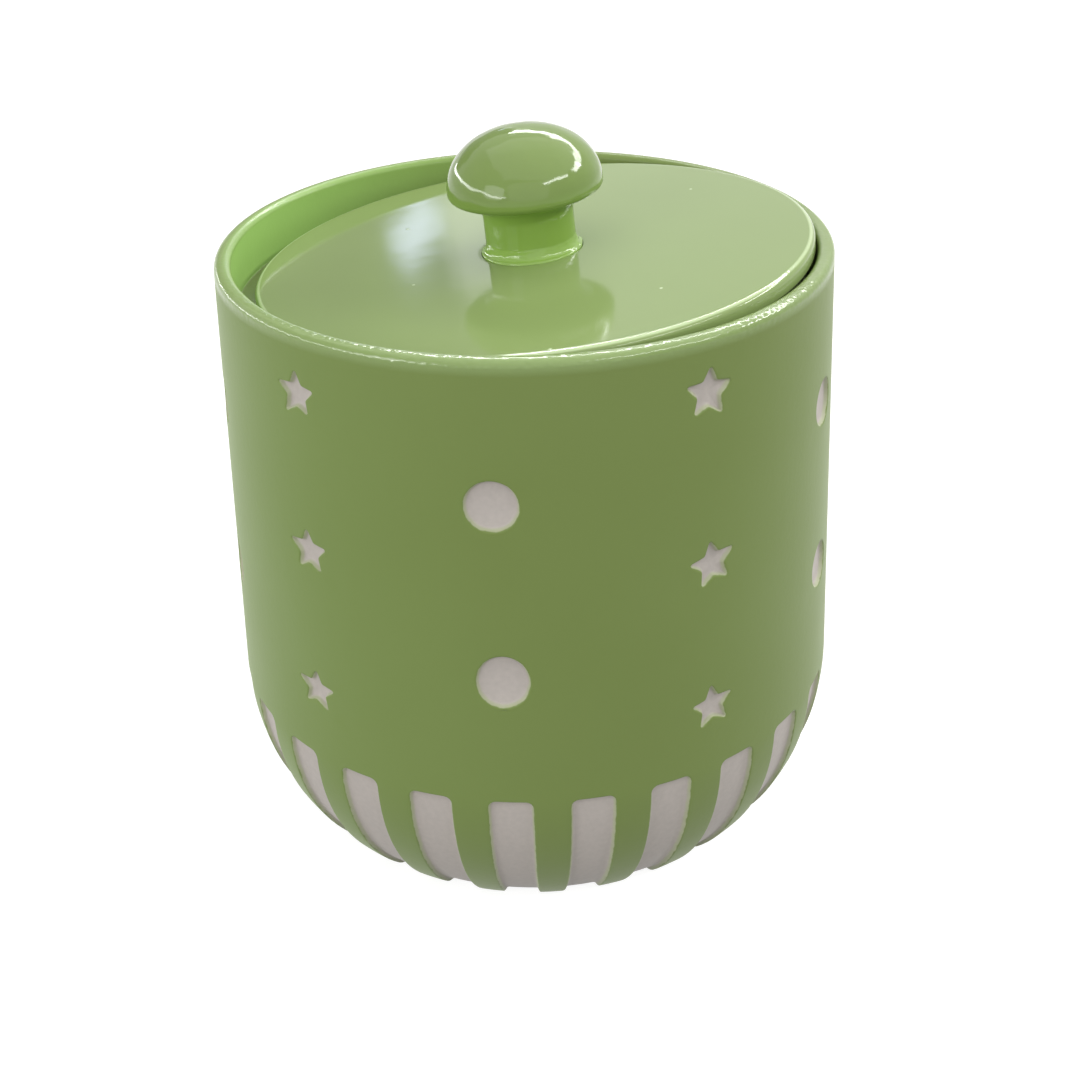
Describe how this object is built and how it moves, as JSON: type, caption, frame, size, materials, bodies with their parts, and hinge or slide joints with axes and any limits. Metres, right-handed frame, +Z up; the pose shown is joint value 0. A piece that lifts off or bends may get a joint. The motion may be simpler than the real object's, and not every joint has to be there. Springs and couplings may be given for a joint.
{
  "type": "storage jar",
  "caption": "Round green jar with a rounded foot, sunk white stars, dots and stripes, and a lift-off lid with a mushroom knob, lying slightly askew in the mouth.",
  "frame": {"origin": "middle of the foot, on the surface that the jar stands on", "axes": "+Z up along the jar's axis; -Y towards the front of the jar; +X to the right seen from the front"},
  "size_m": [0.1052, 0.1052, 0.1223],
  "materials": {
    "jar_lacquer": "lime lacquer sprayed on cast resin, satin gloss, with the sunk motifs painted white",
    "lid_lacquer": "lime lacquer sprayed on cast resin, high gloss",
    "knob_lacquer": "lime lacquer sprayed on cast resin, high gloss"
  },
  "bodies": {
    "jar": {"jar_body": "jar_lacquer"},
    "lid": {"lid": "lid_lacquer", "knob": "knob_lacquer"}
  },
  "joints": [
    {"name": "lid_lift", "type": "slide", "parent": "jar", "child": "lid", "axis": [0, 0, 1], "range_m": [0, 0.06]}
  ]
}
